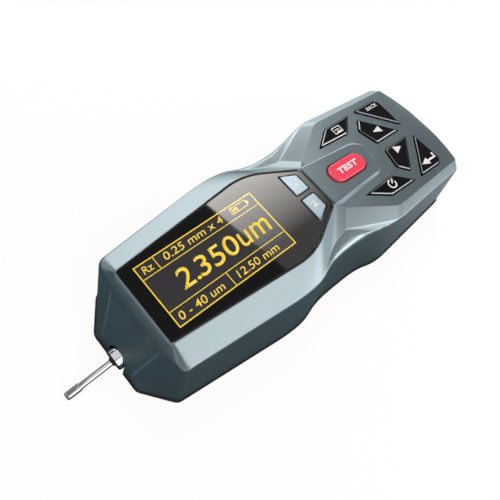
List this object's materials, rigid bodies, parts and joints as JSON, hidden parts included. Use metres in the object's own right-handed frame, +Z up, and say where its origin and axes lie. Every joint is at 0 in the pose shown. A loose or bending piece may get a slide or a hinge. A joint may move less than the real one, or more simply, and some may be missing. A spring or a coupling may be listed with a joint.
{
  "type": "surface roughness tester",
  "caption": "Hand-held surface roughness tester: waisted housing, black window over a display, sloping keypad and a stylus pickup that traverses under the nose.",
  "frame": {"origin": "centre of the housing's base, on the face it stands on", "axes": "+X from the pickup at the nose towards the keypad and tail, +Z up from the base to the display"},
  "size_m": [0.179, 0.063, 0.0354],
  "materials": {
    "housing_grey": "satin metallic grey paint on moulded plastic",
    "base_black": "fine grain",
    "window_black": "polished acrylic, printed black behind",
    "display_dark": "dark display with yellow characters",
    "key_black": "satin with white symbols",
    "key_red": "satin with white lettering",
    "key_silver": "satin silver paint",
    "switch_black": "moulded",
    "board_green": "solder resist",
    "battery_blue": "shrink sleeve",
    "steel": "ground",
    "chrome": "polished",
    "aluminium": "machined",
    "brass": "turned",
    "diamond_tip": "ground point"
  },
  "bodies": {
    "housing": {"upper_housing": "housing_grey", "base_cover": "base_black", "stand_insert": "brass", "housing_screws": "steel", "display_lens": "window_black", "display_panel": "display_dark", "main_board": "board_green", "soft_switches": "switch_black", "usb_socket": "steel", "key_board": "board_green", "key_switches": "switch_black", "board_screws": "steel", "battery_pack": "battery_blue", "drive_frame": "aluminium", "frame_screws": "steel", "guide_rods": "steel", "screw_bushes": "brass", "drive_motor": "steel"},
    "screw": {"lead_screw": "steel", "shaft_coupling": "aluminium", "motor_shaft": "steel"},
    "traverse": {"carriage": "aluminium", "pivot_pin": "steel"},
    "pickup": {"pickup_holder": "aluminium", "pickup_collar": "chrome", "pickup_tube": "chrome", "skid_head": "chrome"},
    "stylus": {"stylus_arm": "steel", "stylus_tip": "diamond_tip"},
    "key_start": {"key_start": "key_red"},
    "key_save": {"key_save": "key_black"},
    "key_power": {"key_power": "key_black"},
    "key_esc": {"key_esc": "key_black"},
    "key_enter": {"key_enter": "key_black"},
    "key_up": {"key_up": "key_black"},
    "key_down": {"key_down": "key_black"},
    "key_soft_left": {"key_soft_left": "key_silver"},
    "key_soft_right": {"key_soft_right": "key_silver"}
  },
  "joints": [
    {"name": "traverse_slide", "type": "slide", "parent": "housing", "child": "traverse", "axis": [1, 0, 0], "range_m": [0, 0.0175]},
    {"name": "screw_turn", "type": "hinge", "parent": "housing", "child": "screw", "pos_m": [-0.045, 0, 0.0152], "axis": [1, 0, 0], "range_deg": [0, 3160]},
    {"name": "pickup_nod", "type": "hinge", "parent": "traverse", "child": "pickup", "pos_m": [-0.05405, 0, 0.0076], "axis": [0, 1, 0], "range_deg": [0, 3]},
    {"name": "stylus_swing", "type": "hinge", "parent": "pickup", "child": "stylus", "pos_m": [-0.07289, 0, 0.00515], "axis": [0, 1, 0], "range_deg": [-0.35, 0.35], "stiffness_Nm_per_rad": 0.02},
    {"name": "key_start_press", "type": "slide", "parent": "housing", "child": "key_start", "axis": [-0.0845, 0, -0.9964], "range_m": [0, 0.0005], "stiffness_N_per_m": 400, "springref_m": -0.0005},
    {"name": "key_save_press", "type": "slide", "parent": "housing", "child": "key_save", "axis": [-0.0845, 0, -0.9964], "range_m": [0, 0.0005], "stiffness_N_per_m": 400, "springref_m": -0.0005},
    {"name": "key_power_press", "type": "slide", "parent": "housing", "child": "key_power", "axis": [-0.0845, 0, -0.9964], "range_m": [0, 0.0005], "stiffness_N_per_m": 400, "springref_m": -0.0005},
    {"name": "key_esc_press", "type": "slide", "parent": "housing", "child": "key_esc", "axis": [-0.0845, 0, -0.9964], "range_m": [0, 0.0005], "stiffness_N_per_m": 400, "springref_m": -0.0005},
    {"name": "key_enter_press", "type": "slide", "parent": "housing", "child": "key_enter", "axis": [-0.0845, 0, -0.9964], "range_m": [0, 0.0005], "stiffness_N_per_m": 400, "springref_m": -0.0005},
    {"name": "key_up_press", "type": "slide", "parent": "housing", "child": "key_up", "axis": [-0.0845, 0, -0.9964], "range_m": [0, 0.0005], "stiffness_N_per_m": 400, "springref_m": -0.0005},
    {"name": "key_down_press", "type": "slide", "parent": "housing", "child": "key_down", "axis": [-0.0845, 0, -0.9964], "range_m": [0, 0.0005], "stiffness_N_per_m": 400, "springref_m": -0.0005},
    {"name": "key_soft_left_press", "type": "slide", "parent": "housing", "child": "key_soft_left", "axis": [0, 0, -1], "range_m": [0, 0.0005], "stiffness_N_per_m": 400, "springref_m": -0.0005},
    {"name": "key_soft_right_press", "type": "slide", "parent": "housing", "child": "key_soft_right", "axis": [0, 0, -1], "range_m": [0, 0.0005], "stiffness_N_per_m": 400, "springref_m": -0.0005}
  ],
  "couplings": [
    {"joint": "screw_turn", "follows": "traverse_slide", "rad_per_m": 3141.6}
  ]
}
